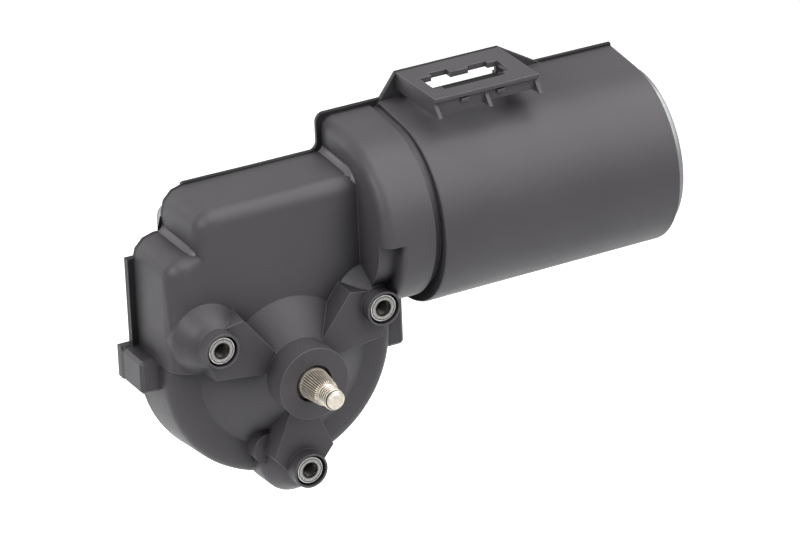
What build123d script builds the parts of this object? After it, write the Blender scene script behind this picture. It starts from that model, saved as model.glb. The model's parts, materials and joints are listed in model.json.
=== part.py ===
from build123d import *
import math
import os

os.makedirs("parts", exist_ok=True)

# Frame: the origin is where the output shaft's axis crosses the plane of the
# three mounting posts. X runs along the motor, the shaft points to -Y, Z is up.

# Post pattern and output shaft
post_r = 5.15
post_circle_r = 38.1
post_angles = (30, 150, 270)
post_thread_r = 3.0
post_thread_depth = 16.0
thread_r = 4.0
thread_length = 6.7
thread_chamfer = 0.9
relief_length = 0.9
relief_r = 3.35
knurl_small_r = 5.0
knurl_large_r = 6.0
knurl_length = 8.5
collar_step = 0.6
shaft_tip_y = -24.3
shaft_end_chamfer = 0.8
journal_r = 6.0
running_gap = 0.03
bush_wall = 2.0
bush_length = 7.5
seal_length = 2.0
washer = 0.5
clip_groove_r = 5.4
clip_width = 0.9
clip_mouth = 3.6
clip_play = 0.1

# Worm drive: single start worm above the wheel
module = 1.25
wheel_teeth = 61
wheel_front_y = 23.3
wheel_back_y = 30.8
wheel_rim = 5.0
web_depth = 1.6
wheel_spokes = 8
spoke_width = 1.8
backlash = 0.16
pressure_angle = 20.0
worm_turns = 4
worm_steps = 12
worm_sink = 0.4
worm_room = 4.0
hub_r = 12.0
hub_face_y = 17.0

# Park switch on the wheel and the lid
track = 0.5
track_inner_r = 17.0
track_outer_r = 29.0
wiper_radii = (18.5, 22.5, 27.5)
wiper_width = 1.8
wiper_sheet = 0.5
wiper_foot_z = -9.0
wiper_bend_z = -3.0
wiper_rise_z = 4.0
wiper_tip_z = 5.5
wiper_shift = 0.2

# Cast gear housing and its lid
cast_wall = 2.2
wheel_room = 1.825
chamber_back_y = 36.0
tube_front_y = -3.6
tunnel_front_y = 15.8
tunnel_back_y = 34.3
tunnel_left_x = -28.0
tunnel_top_z = 55.0
tunnel_bore_r = 7.75
tunnel_chamfer = 4.0
bowl_x = 41.0
bowl_r = 27.6
bowl_wall = 2.0
bowl_floor = 2.5
bowl_end_x = 57.2
flange_rim = 4.4
flange_width = 3.0
flange_lip = 6.9
lid_thickness = 2.0
gasket_thickness = 0.8
lid_screw_circle_r = 41.4
lid_screw_count = 6
lid_screw_r = 1.5
lid_screw_length = 5.8
screw_edge = 0.5
screw_head_r = 2.6
screw_head = 1.8
screw_play = 0.2
screw_pillar_r = 2.4
pillar_gap = 0.8

# Plastic covers
wall = 2.2
cover_gap = 0.4
split_y = 41.0
plate_y = 13.0
ring_y = 18.0
arm_y = 4.0
boss_y = -7.0
boss_r = 13.9
boss_hole_r = 7.25
cone_foot_r = 33.75
drum_spread = 1.4
ring_round = 5.0
plate_round = 6.0
corner_round = 9.0
wall_draft = 2.5
step_x = -35.0
step_z = 52.0
top_z = 68.0
block_end_x = 40.0
arm_half_angle = 21.3
arm_reach = 33.7
arm_draft = 4.0
post_cup_r = 6.75
post_cup_hole_r = 6.0
post_cup_y = -0.9
post_foot_r = 13.2
post_foot_top_r = 9.2
post_foot_top_y = 6.5
post_foot_back_y = 24.0
stud_x = -11.0
stud_z = -31.0
stud_r = 6.0
stud_y = 11.0
lip_proud = 1.0
lip_depth = 1.5
lip_start_x = -26.0
side_lip = 2.5
side_lip_low_z = 9.3
side_lip_high_z = 44.0

# Motor and its shroud
motor_y = 25.0
motor_z = 44.2
can_wall = 1.8
can_end_x = 157.6
can_round = 2.0
can_dish = 2.8
can_room = 1.4
shroud_start_x = 54.5
shroud_end_x = 153.5
shroud_slimming = 0.7
shroud_slope = 6.0
rim_round = 1.1
collar_drop = 2.1
collar_z = 45.7
collar_x = 31.0
collar_low_x = 38.2
collar_end_x = 51.4
collar_round = 4.5
collar_low_round = 2.0
throat_r = 28.0
neck_room = 4.2
neck_z = 46.4
neck_wall = 1.6

# Connector bracket above the shroud
bracket_z = 91.5
bracket_left_x = 62.5
bracket_right_x = 105.8
bracket_front_y = 9.0
bracket_plate = 2.2
band_height = 1.5
rail_front_y = 10.0
rail_low_z = 85.6
rail_depth = 5.0
rib_width = 1.4
rib_tip_y = 6.2
rib_low_z = 84.6
rib_lean = 2.0
slot_left_x = 67.0
slot_right_x = 99.0
slot_front_y = 18.2
slot_back_y = 28.6
slot_back_steps = ((67.0, 72.0, 0.9), (72.0, 79.5, 3.4), (86.9, 95.0, 1.9))
slot_front_step = (70.0, 96.0, 2.6)
catch_places = (73.4, 88.4)
catch_width = 3.1
catch_height = 1.3
catch_z = 87.9
window_y = 34.0
window_z = 80.9
foot_left_x = 54.2
foot_right_x = 124.0
foot_sink = 3.5
foot_rise = 4.2

# Snap latches that hold the covers together
latch_front_y = 25.0
latch_back_y = 45.0
latch_depth = 6.6
latch_left_z = (-3.8, 9.4)
latch_right_z = (-11.0, 8.8)
latch_pocket = 1.5
latch_play = 0.25
latch_edge = 1.2
latch_gap = 0.3

# Rear cover
rear_pan_y = 52.0
rear_pan_r = 40.5
rear_step_x = -36.6
rear_step_z = 47.0
rear_top_z = 61.5
rear_inset = 1.7
rear_motor_r = 34.6
rear_motor_x = 37.0
rear_draft = 25.0
rear_edge = 2.0
rim_inset = 1.2

# Electric motor
magnet_thickness = 5.5
magnet_gap = 12.5
magnet_room = 2.0
air_gap = 0.7
core_start_x = 74.0
core_length = 52.0
core_slots = 12
slot_depth = 8.0
slot_width = 4.2
slot_mouth = 2.4
slot_lip = 2.0
winding_gap = 0.15
head_length = 8.0
head_room = 2.5
armature_r = 5.0
end_journal_r = 4.0
end_bush_r = 6.5
end_bush_length = 6.6
cup_wall = 2.0
commutator_start_x = 46.5
commutator_length = 15.0
commutator_r = 11.5
commutator_groove = 0.7
groove_width = 0.6
bearing_r = 11.0
bearing_width = 7.0
bearing_start_x = 36.0
inner_race_r = 7.0
race_gap = 0.05
bearing_boss = 2.5
left_bush_start_x = -26.5
left_bush_end_x = -18.5
plug_r = 5.0
plug_length = 3.4
plug_step = 1.5
plug_key_r = 3.0
plug_key_depth = 2.5
bolt_r = 2.0
bolt_inset = 1.3
bolt_head_r = 3.2
bolt_head = 2.6
bolt_slot = 0.8
bolt_angles = (90, 270)

# Brush gear
plate_thickness = 2.0
brush_angles = (90, 210, 330)
brush_width = 6.4
brush_depth = 8.0
brush_length = 8.0
brush_touch = 0.05
brush_place = 3.5
holder_wall = 0.8
holder_play = 0.1
holder_gap = 0.6
holder_room = 1.2
spring_strip = 0.4
spring_folds = 4
choke_circle_r = 19.6
choke_r = 3.7
choke_length = 10.0
choke_wall = 1.2
choke_seat = 3.0

# Worked out from the sizes above
wheel_pitch_r = module * wheel_teeth / 2
wheel_tip_r = wheel_pitch_r + module
worm_pitch_r = motor_z - wheel_pitch_r
worm_pitch = math.pi * module
worm_tip_r = worm_pitch_r + module
worm_root_r = worm_pitch_r - 1.25 * module
worm_start_x = -worm_turns / 2 * worm_pitch - worm_room
lead_tangent = worm_pitch / (2 * math.pi * worm_pitch_r)
knurl_end_y = shaft_tip_y + thread_length + relief_length + collar_step
knurl_start_y = knurl_end_y + knurl_length
bush_r = journal_r + running_gap + bush_wall
housing_inset = wall + cover_gap
wheel_need_r = wheel_tip_r + wheel_room + cast_wall
screw_need_r = lid_screw_circle_r + lid_screw_r + screw_edge
drum_front_r = max(wheel_need_r, screw_need_r) + housing_inset
drum_back_r = drum_front_r + drum_spread
left_x = -drum_front_r - latch_pocket
chamber_r = drum_front_r - housing_inset - cast_wall
chamber_front_y = ring_y + housing_inset + cast_wall
cone_slope = (ring_y - arm_y) / (cone_foot_r - boss_r)
cone_tilt = math.atan(cone_slope)
hub_room_r = boss_r + (hub_face_y - arm_y) / cone_slope - housing_inset - cast_wall - washer * 3
lid_y = chamber_back_y + gasket_thickness
pillar_y = wheel_back_y + pillar_gap
can_r = bowl_r + flange_rim
can_start_x = bowl_end_x + flange_width
shroud_start_r = can_r + can_room + wall
shroud_end_r = shroud_start_r - shroud_slimming
collar_r = shroud_start_r - collar_drop
neck_r = bowl_r + neck_room
bolt_circle_r = bowl_r - bolt_inset
bearing_end_x = bearing_start_x + bearing_width
magnet_outer_r = can_r - can_wall
magnet_inner_r = magnet_outer_r - magnet_thickness
core_r = magnet_inner_r - air_gap
core_end_x = core_start_x + core_length
slot_outer_r = core_r - slot_lip
slot_inner_r = slot_outer_r - slot_depth
end_plate_x = can_end_x - can_dish
cup_end_x = end_plate_x - can_wall
cup_start_x = cup_end_x - end_bush_length
plate_x = bowl_x + bowl_floor
holder_x = plate_x + plate_thickness
brush_start_x = plate_x + brush_place
brush_outer_r = commutator_r + brush_length
holder_outer_r = bowl_r - bowl_wall - holder_gap


def across(y):
    # Plane square to the output shaft at depth y, seen from the front
    return Plane.XZ.offset(-y)


def along(x):
    # Plane square to the motor axis: its own x is depth, its own y is height
    return Plane.YZ.offset(x)


def patch(x_from, x_to, y_from, y_to):
    # Rectangle between two places in each direction
    with BuildSketch(Plane.XY) as outline:
        with Locations(((x_from + x_to) / 2, (y_from + y_to) / 2)):
            Rectangle(x_to - x_from, y_to - y_from)
    return outline.sketch


def turned(*points):
    # Solid turned about the output shaft, from pairs of radius and depth
    with BuildPart() as form:
        with BuildSketch(Plane.XY):
            Polygon(*points, align=None)
        revolve(axis=Axis.Y)
    return form.part


def turned_on_motor(*points):
    # Solid turned about the motor axis, from pairs of place and radius
    middle = (0, motor_y, motor_z)
    with BuildPart() as form:
        with BuildSketch(Plane(origin=middle, x_dir=(1, 0, 0), z_dir=(0, -1, 0))):
            Polygon(*points, align=None)
        revolve(axis=Axis(middle, (1, 0, 0)))
    return form.part


def rounded(steps):
    # Pairs of shares, along and across, for an edge rounded by short straight strips
    turns = [math.pi / 2 * step / steps for step in range(steps + 1)]
    return [(1 - math.cos(turn), 1 - math.sin(turn)) for turn in turns]


def drum_form(inset, back_y, steps):
    # Round gear end of the cover with its stepped cone and central boss
    front = boss_y + inset
    tube_r = boss_r - inset
    line_r = boss_r - inset * math.sin(cone_tilt)
    line_y = arm_y + inset * math.cos(cone_tilt)
    ring = ring_y + inset
    top_y = line_y + (tube_r - line_r) * cone_slope
    foot_r = line_r + (ring - line_y) / cone_slope
    spread = (drum_back_r - drum_front_r) / (split_y - ring_y)
    edge_r = drum_front_r - inset
    last_r = edge_r + spread * (back_y - ring_y)
    rounding = ring_round - inset
    edge = [(edge_r - rounding * near, ring + rounding * far) for far, near in rounded(steps)]
    return turned(
        (0, front),
        (tube_r, front),
        (tube_r, top_y),
        (foot_r, ring),
        *edge,
        (last_r, back_y),
        (0, back_y),
    )


def box_outline(left, top, right, floor, corner_r, shrink, steps):
    # Outline of a moulded box with its upper left corner rounded by straight strips
    slope = math.tan(math.radians(post_angles[0] - arm_half_angle))
    side = left + shrink
    reach = corner_r - shrink
    corner = [(side + reach * near, top - shrink - reach * far) for near, far in rounded(steps)]
    with BuildSketch(Plane.XY) as outline:
        Polygon(
            (0, floor),
            (side, floor - side * slope),
            *corner,
            (right, top - shrink),
            (right, floor + right * slope),
            align=None,
        )
    return outline.sketch


def box_form(left, top, right, floor, corner_r, steps, stations):
    # Box through outlines that shrink by some amount at each depth
    with BuildPart() as form:
        for y, shrink in stations:
            with BuildSketch(across(y)):
                add(box_outline(left, top, right, floor, corner_r, shrink, steps))
        loft(ruled=True)
    return form.part


def block_form(inset, low_x, high_z, steps):
    # Moulded box over the worm and the brush leads, rounded towards the front
    rounding = plate_round - inset
    drafted = (split_y - plate_y - plate_round) * math.tan(math.radians(wall_draft))
    stations = [
        (plate_y + inset + rounding * far, drafted + rounding * near)
        for far, near in rounded(steps)
    ]
    return box_form(
        low_x + inset,
        high_z - inset,
        block_end_x - inset,
        inset,
        corner_round - inset,
        steps,
        stations + [(split_y, 0)],
    )


def d_outline(radius, height):
    # Round towards the front, opening by its draft towards the parting line
    tilt = math.radians(shroud_slope)
    reach_y = motor_y - radius * math.sin(tilt)
    half = radius * math.cos(tilt)
    spread = half + (split_y - reach_y) * math.tan(tilt)
    with BuildSketch(Plane.XY) as outline:
        with BuildLine():
            ThreePointArc(
                (reach_y, height + half),
                (motor_y - radius, height),
                (reach_y, height - half),
            )
            Polyline(
                (reach_y, height - half),
                (split_y, height - spread),
                (split_y, height + spread),
                (reach_y, height + half),
            )
        make_face()
    return outline.sketch


def shell_form(height, stations):
    # Half round form along the motor through radii at several places
    with BuildPart() as form:
        for x, radius in stations:
            with BuildSketch(along(x)):
                add(d_outline(radius, height))
        loft(ruled=True)
    return form.part


def rounded_rim(x_from, radius, rounding, steps):
    # Places and radii of a shell's first edge
    return [(x_from + rounding * far, radius - rounding * near) for far, near in rounded(steps)]


def shroud_form(inset):
    # Long half shell over the motor, a little slimmer at its open end
    if inset > 0:
        stations = [(shroud_start_x + inset, shroud_start_r - inset)]
        stations.append((shroud_end_x + 1, shroud_end_r - inset))
    else:
        stations = rounded_rim(shroud_start_x, shroud_start_r, rim_round, 2)
        stations.append((shroud_end_x, shroud_end_r))
    return shell_form(motor_z, stations)


def collar_form(inset, steps):
    # Collar between gear end and shroud; its lower half starts further right
    end_x = collar_end_x - inset
    upper_rim = rounded_rim(collar_x + inset, collar_r - inset, collar_round - inset, steps)
    if inset > 0:
        lower_rim = [(collar_low_x + inset, collar_r - inset)]
    else:
        lower_rim = rounded_rim(collar_low_x, collar_r, collar_low_round, steps)
    with BuildPart() as form:
        add(shell_form(collar_z, upper_rim + [(end_x, collar_r - inset)]))
        with BuildSketch(along(collar_x)):
            add(patch(motor_y - collar_r, split_y, collar_z - 2 * collar_r, collar_z))
        extrude(amount=end_x - collar_x, mode=Mode.SUBTRACT)
        add(shell_form(collar_z, lower_rim + [(end_x, collar_r - inset)]))
        throat = throat_r - inset
        add(shell_form(collar_z, [(collar_x + inset, throat), (collar_low_x + collar_round, throat)]))
    return form.part


def neck_form(inset):
    # Sunk neck that leaves a groove between the collar and the shroud
    if inset > 0:
        ends = (collar_end_x - wall - 1, shroud_start_x + wall + 1)
    else:
        ends = (collar_end_x - 1, shroud_start_x + wall)
    return shell_form(neck_z, [(x, neck_r - inset) for x in ends])


def arms_form():
    # Three flat topped wedges that run from the boss to the posts
    growth = (ring_y + 1 - arm_y) * math.tan(math.radians(arm_draft))
    half = arm_reach * math.sin(math.radians(arm_half_angle)) + growth
    reach = arm_reach * math.cos(math.radians(arm_half_angle)) + growth
    end = post_circle_r + growth
    end_half = post_cup_r + growth
    with BuildPart() as form:
        with BuildSketch(across(ring_y + 1)):
            with PolarLocations(0, 3, start_angle=post_angles[0]):
                Polygon((0, 0), (reach, -half), (end, -end_half), (end, end_half), (reach, half), align=None)
        extrude(amount=ring_y + 1 - arm_y, taper=arm_draft)
    return form.part


def post_place(angle):
    # Middle of a post, for this angle on the post circle
    turn = math.radians(angle)
    return (post_circle_r * math.cos(turn), 0, post_circle_r * math.sin(turn))


def post_feet_form():
    # Wide cone and slim cup round each post
    foot = turned(
        (0, post_cup_y),
        (post_cup_r, post_cup_y),
        (post_cup_r + screw_play, post_foot_top_y - cup_wall),
        (post_foot_top_r, post_foot_top_y),
        (post_foot_r, plate_y),
        (post_foot_r + cover_gap, post_foot_back_y),
        (0, post_foot_back_y),
    )
    with BuildPart() as feet:
        with Locations(*[post_place(angle) for angle in post_angles]):
            add(foot)
    return feet.part


def stud_form():
    # Round stud on the drum's ring
    with BuildPart() as form:
        with BuildSketch(across(ring_y + 1)):
            with Locations((stud_x, stud_z)):
                Circle(stud_r)
        extrude(amount=ring_y + 1 - stud_y)
    return form.part


def bracket_form():
    # Open frame that takes the lead's plug: plate, band, rail, end walls, rib and feet
    length = bracket_right_x - bracket_left_x
    under_z = bracket_z - bracket_plate
    base_z = motor_z + shroud_start_r - foot_sink
    rail_back_y = rail_front_y + rib_width
    middle_x = (bracket_left_x + bracket_right_x - rib_width) / 2
    ribs = (
        (bracket_left_x, split_y),
        (middle_x, rail_front_y + rail_depth),
        (bracket_right_x - rib_width, split_y),
    )
    with BuildPart() as form:
        with BuildSketch(along(bracket_left_x)):
            Polygon(
                (bracket_front_y, bracket_z),
                (bracket_front_y, bracket_z - band_height),
                (rail_front_y, bracket_z - band_height),
                (rail_front_y, rail_low_z),
                (rail_back_y, rail_low_z),
                (rail_back_y, under_z),
                (split_y, under_z),
                (split_y, bracket_z),
                align=None,
            )
        extrude(amount=length)
        for rib_x, back_y in ribs:
            with BuildSketch(along(rib_x)):
                Polygon(
                    (bracket_front_y + rib_lean, under_z + 1),
                    (rib_tip_y, rib_low_z),
                    (back_y, rib_low_z),
                    (back_y, under_z + 1),
                    align=None,
                )
            extrude(amount=rib_width)
        for catch_x in catch_places:
            with BuildSketch(across(rail_front_y)):
                add(patch(catch_x, catch_x + catch_width, catch_z, catch_z + catch_height))
            extrude(amount=rail_front_y - bracket_front_y)
        with BuildSketch(across(split_y)):
            Polygon(
                (foot_left_x, base_z + foot_rise),
                (bracket_left_x, bracket_z),
                (bracket_right_x, bracket_z),
                (foot_right_x, base_z + foot_rise),
                (foot_right_x, base_z),
                (foot_left_x, base_z),
                align=None,
            )
        extrude(amount=lip_depth + latch_gap)
    return form.part


def bracket_window(y_from, y_to, low_z):
    # Open space under the bracket's plate, between its end walls
    with BuildPart() as form:
        with BuildSketch(across(y_to)):
            left = bracket_left_x + rib_width
            right = bracket_right_x - rib_width
            add(patch(left, right, low_z, bracket_z - bracket_plate))
        extrude(amount=y_to - y_from)
    return form.part


def bracket_slot():
    # Stepped opening for the plug
    front_left, front_right, front_step = slot_front_step
    with BuildPart() as form:
        with BuildSketch(Plane.XY.offset(bracket_z - bracket_plate - 1)):
            add(patch(slot_left_x, slot_right_x, slot_front_y, slot_back_y))
            add(patch(front_left, front_right, slot_front_y - front_step, slot_back_y))
            for left, right, step in slot_back_steps:
                add(patch(left, right, slot_front_y, slot_back_y + step))
        extrude(amount=bracket_plate + 2)
    return form.part


def shroud_top_z(x):
    # Height of the shroud's edge at the parting line
    share = (x - shroud_start_x) / (shroud_end_x - shroud_start_x)
    radius = shroud_start_r + share * (shroud_end_r - shroud_start_r)
    tilt = math.radians(shroud_slope)
    reach_y = motor_y - radius * math.sin(tilt)
    return motor_z + radius * math.cos(tilt) + (split_y - reach_y) * math.tan(tilt)


def lip_form():
    # Thin rim along the parting line, with a rounded step up to the collar
    top_high = shroud_top_z(shroud_start_x)
    top_low = shroud_top_z(shroud_end_x)
    step_left = collar_x - 2 * lip_proud
    with BuildPart() as form:
        with BuildSketch(across(split_y)):
            with BuildLine():
                Polyline(
                    (lip_start_x, top_z + lip_proud),
                    (step_left, top_z + lip_proud / 2),
                    (step_left, top_high + lip_proud),
                    (shroud_start_x, top_high + lip_proud),
                    (shroud_end_x, top_low + lip_proud),
                    (shroud_end_x, top_low - wall),
                    (shroud_start_x, top_high - wall),
                    (collar_x + collar_round, top_high - wall),
                    (collar_x + collar_round, top_z - wall),
                    (lip_start_x, top_z - wall),
                    close=True,
                )
            make_face()
            low_corner = vertices().sort_by_distance((step_left, top_z, 0))[0]
            high_corner = vertices().sort_by_distance((step_left, top_high, 0))[0]
            fillet([low_corner, high_corner], collar_round - lip_proud)
            add(patch(left_x - side_lip, left_x + side_lip, side_lip_low_z, side_lip_high_z))
        extrude(amount=lip_depth)
    return form.part


def latch_box(side, low_z, high_z, y_from, y_to, inset):
    # Box on the outside of the wall; side is -1 on the left, 1 on the right
    start = abs(left_x) - side_lip + inset
    end = abs(left_x) + latch_depth - inset
    with BuildPart() as form:
        with BuildSketch(across(y_to)):
            with Locations((side * (start + end) / 2, (low_z + high_z) / 2)):
                Rectangle(end - start, high_z - low_z - 2 * inset)
        extrude(amount=y_to - y_from)
        if inset == 0:
            outer = form.edges().filter_by(Axis.Y)
            outer = outer.filter_by(lambda e: abs(e.center().X) > abs(left_x) + 1)
            front = form.faces().sort_by(Axis.Y)[0].edges()
            front = front.filter_by(lambda e: abs(e.center().X) > abs(left_x) + 1)
            chamfer(outer + front, latch_edge)
    return form.part


def latch_core(side, low_z, high_z, play):
    # The pocket in a latch box or, with some play, the tongue that fills it
    start = abs(left_x) + latch_pocket
    end = abs(left_x) + latch_depth - latch_pocket
    with BuildPart() as form:
        with BuildSketch(across(split_y)):
            with Locations((side * (start + end) / 2, (low_z + high_z) / 2)):
                Rectangle(end - start - 2 * play, high_z - low_z - 2 * latch_pocket - 2 * play)
        extrude(amount=split_y - latch_front_y - latch_pocket - play)
    return form.part


# Front cover: everything the photograph shows in plastic is this moulding
outer_forms = [
    drum_form(0, split_y, 3),
    block_form(0, left_x, step_z, 3),
    block_form(0, step_x, top_z, 3),
    shroud_form(0),
    collar_form(0, 3),
    neck_form(0),
    arms_form(),
    post_feet_form(),
    stud_form(),
    bracket_form(),
    lip_form(),
    latch_box(-1, *latch_left_z, latch_front_y, split_y, 0),
    latch_box(1, *latch_right_z, latch_front_y, split_y, 0),
]
inner_forms = [
    drum_form(wall, split_y, 1),
    block_form(wall, left_x, step_z, 1),
    block_form(wall, step_x, top_z, 1),
    shroud_form(wall),
    collar_form(wall, 1),
    neck_form(neck_wall),
    bracket_slot(),
    bracket_window(window_y, split_y, window_z),
    latch_core(-1, *latch_left_z, 0),
    latch_core(1, *latch_right_z, 0),
]

with BuildPart() as front_cover:
    for form in outer_forms:
        add(form)
    for form in inner_forms:
        add(form, mode=Mode.SUBTRACT)
    with BuildSketch(across(boss_y - 1)):
        Circle(boss_hole_r)
    extrude(amount=-(wall + 2), mode=Mode.SUBTRACT)
    with BuildSketch(across(post_cup_y - 1)):
        with PolarLocations(post_circle_r, 3, start_angle=post_angles[0]):
            Circle(post_cup_hole_r)
    extrude(amount=-(post_foot_back_y + 4), mode=Mode.SUBTRACT)


def save(solid, name):
    solid.label = name
    export_step(solid, "parts/" + name + ".step")


save(front_cover.part, "front_cover")


def rear_block(inset, low_x, high_z, steps):
    # Shallow drafted pan behind one of the front cover's boxes
    depth = rear_pan_y - split_y - inset
    shrink = depth * math.tan(math.radians(rear_draft))
    return box_form(
        low_x + inset,
        high_z - inset,
        block_end_x - inset,
        inset,
        corner_round - inset,
        steps,
        [(split_y, 0), (split_y + depth, shrink)],
    )


def rear_drum(inset):
    # Round pan behind the gear wheel
    edge = rear_edge - inset if inset < rear_edge else 0
    points = [(0, split_y), (drum_front_r - inset, split_y)]
    if edge > 0:
        points.append((rear_pan_r + edge / 2, rear_pan_y - edge))
        points.append((rear_pan_r - edge, rear_pan_y))
    else:
        points.append((rear_pan_r - inset, rear_pan_y - inset))
    points.append((0, rear_pan_y - inset))
    return turned(*points)


def rear_shell(inset, end_x):
    # Back part of the round shell over the motor
    with BuildPart() as form:
        with BuildSketch(along(rear_motor_x + inset)):
            with Locations((motor_y, motor_z)):
                Circle(rear_motor_r - inset)
            front_y = motor_y - 2 * rear_motor_r
            add(
                patch(front_y, split_y, motor_z - 2 * rear_motor_r, motor_z + 2 * rear_motor_r),
                mode=Mode.SUBTRACT,
            )
        extrude(amount=end_x - rear_motor_x - inset)
    return form.part


def rear_flange():
    # Flat rim that closes the gap between the two covers' outlines
    high = shroud_top_z(shroud_start_x)
    low = shroud_top_z(shroud_end_x)
    under_high = 2 * motor_z - high
    under_low = 2 * motor_z - low
    corner_r = corner_round - rim_inset
    with BuildPart() as form:
        with BuildSketch(across(split_y + lip_depth)):
            Circle(drum_back_r - lip_proud / 2)
            for side, top in ((left_x, step_z), (step_x, top_z)):
                add(box_outline(side + rim_inset, top - rim_inset, block_end_x, 0, corner_r, 0, 3))
            Polygon(
                (lip_start_x, 0),
                (lip_start_x, top_z),
                (collar_x - lip_proud, top_z),
                (collar_x - lip_proud, high - collar_round),
                (collar_x + collar_round, high),
                (shroud_start_x, high),
                (shroud_end_x, low),
                (shroud_end_x, under_low),
                (shroud_start_x, under_high),
                (collar_low_x, under_high + collar_round),
                (collar_low_x, 0),
                align=None,
            )
            add(patch(left_x - side_lip, left_x + side_lip, side_lip_low_z, side_lip_high_z))
        extrude(amount=lip_depth)
    return form.part


# Rear cover: closes the front cover and snaps into its two latch boxes
rear_outer = [
    rear_drum(0),
    rear_block(0, left_x + rear_inset, rear_step_z, 3),
    rear_block(0, rear_step_x, rear_top_z, 3),
    rear_shell(0, shroud_end_x),
    rear_flange(),
]
rear_inner = [
    rear_drum(wall),
    rear_block(wall, left_x + rear_inset, rear_step_z, 1),
    rear_block(wall, rear_step_x, rear_top_z, 1),
    rear_shell(wall, shroud_end_x + 1),
    bracket_window(split_y, split_y + lip_depth, window_z - lip_depth),
]
with BuildPart() as rear_cover:
    for form in rear_outer:
        add(form)
    for form in rear_inner:
        add(form, mode=Mode.SUBTRACT)
    for side, low_z, high_z in ((-1, *latch_left_z), (1, *latch_right_z)):
        add(latch_box(side, low_z, high_z, split_y, latch_back_y, latch_gap))
        add(latch_core(side, low_z, high_z, latch_play))
save(rear_cover.part, "rear_cover")


def ring(inner_r, outer_r, y_from, y_to):
    # Plain ring about the output shaft
    with BuildPart() as form:
        with BuildSketch(across(y_to)):
            Circle(outer_r)
            Circle(inner_r, mode=Mode.SUBTRACT)
        extrude(amount=y_to - y_from)
    return form.part


def motor_ring(inner_r, outer_r, x_from, x_to):
    # Plain ring or, with no inner radius, disc about the motor axis
    with BuildPart() as form:
        with BuildSketch(along(x_from)):
            with Locations((motor_y, motor_z)):
                Circle(outer_r)
                if inner_r > 0:
                    Circle(inner_r, mode=Mode.SUBTRACT)
        extrude(amount=x_to - x_from)
    return form.part


def motor_point(radius, angle):
    # Point about the motor axis, as depth and height
    turn = math.radians(angle)
    return (motor_y + radius * math.cos(turn), motor_z + radius * math.sin(turn))


def screw_ears():
    # Ears that join each lid screw's pillar to the wall, wherever the screws stand
    middle = (lid_screw_circle_r + chamber_r) / 2
    length = abs(lid_screw_circle_r - chamber_r) + cast_wall
    with BuildSketch(Plane.XY) as outline:
        with PolarLocations(lid_screw_circle_r, lid_screw_count):
            RegularPolygon(screw_pillar_r, 6, major_radius=False)
        with PolarLocations(middle, lid_screw_count):
            Rectangle(length, 2 * screw_pillar_r)
    return outline.sketch


# Cast gear housing: wheel chamber, worm tunnel, posts, shaft tube and motor bowl
tunnel_low_z = motor_z - bearing_r
with BuildPart() as gear_housing:
    add(drum_form(housing_inset, chamber_back_y, 1))
    with BuildSketch(along(tunnel_left_x)):
        Polygon(
            (tunnel_front_y, tunnel_low_z),
            (tunnel_front_y, tunnel_top_z - tunnel_chamfer),
            (tunnel_front_y + tunnel_chamfer, tunnel_top_z),
            (tunnel_back_y - tunnel_chamfer, tunnel_top_z),
            (tunnel_back_y, tunnel_top_z - tunnel_chamfer),
            (tunnel_back_y, tunnel_low_z),
            align=None,
        )
    extrude(amount=bowl_x - tunnel_left_x)
    add(motor_ring(0, bearing_r + bearing_boss, bearing_start_x - 2, bowl_x + bowl_floor))
    add(motor_ring(0, bowl_r, bowl_x, bowl_end_x))
    add(motor_ring(0, bowl_r - bowl_wall, bowl_x + bowl_floor, bowl_end_x), mode=Mode.SUBTRACT)
    with BuildSketch(along(bowl_end_x)):
        with Locations((motor_y, motor_z)):
            Circle(can_r)
            Circle(can_r - flange_rim - flange_lip, mode=Mode.SUBTRACT)
        with Locations(*[motor_point(bolt_circle_r, angle) for angle in bolt_angles]):
            Circle(bolt_r, mode=Mode.SUBTRACT)
    extrude(amount=flange_width)
    chamber = turned(
        (0, hub_face_y),
        (hub_room_r, hub_face_y),
        (cone_foot_r - cast_wall, chamber_front_y),
        (chamber_r, chamber_front_y),
        (chamber_r, chamber_back_y),
        (0, chamber_back_y),
    )
    add(chamber, mode=Mode.SUBTRACT)
    with BuildSketch(across(chamber_back_y)):
        add(screw_ears())
    extrude(amount=chamber_back_y - pillar_y)
    with BuildSketch(across(chamber_back_y)):
        with PolarLocations(lid_screw_circle_r, lid_screw_count):
            Circle(lid_screw_r)
    extrude(amount=chamber_back_y - pillar_y - pillar_gap, mode=Mode.SUBTRACT)
    with BuildSketch(across(tube_front_y)):
        Circle(boss_r)
    extrude(amount=boss_r, mode=Mode.SUBTRACT)
    with BuildSketch(across(hub_face_y + 1)):
        Circle(bush_r)
    extrude(amount=hub_face_y - tube_front_y + 2, mode=Mode.SUBTRACT)
    bores = (
        (tunnel_bore_r, left_bush_end_x, bowl_x),
        (bearing_r, bearing_start_x, bowl_x + bowl_floor),
        (end_bush_r, left_bush_start_x, left_bush_end_x),
        (plug_r - plug_step, tunnel_left_x, left_bush_start_x),
    )
    for radius, x_from, x_to in bores:
        add(motor_ring(0, radius, x_from, x_to), mode=Mode.SUBTRACT)
    with BuildSketch(across(chamber_front_y)):
        with PolarLocations(post_circle_r, 3, start_angle=post_angles[0]):
            Circle(post_r)
    extrude(amount=chamber_front_y)
    with BuildSketch(across(0)):
        with PolarLocations(post_circle_r, 3, start_angle=post_angles[0]):
            Circle(post_thread_r)
    extrude(amount=-post_thread_depth, mode=Mode.SUBTRACT)
save(gear_housing.part, "gear_housing")

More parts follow.
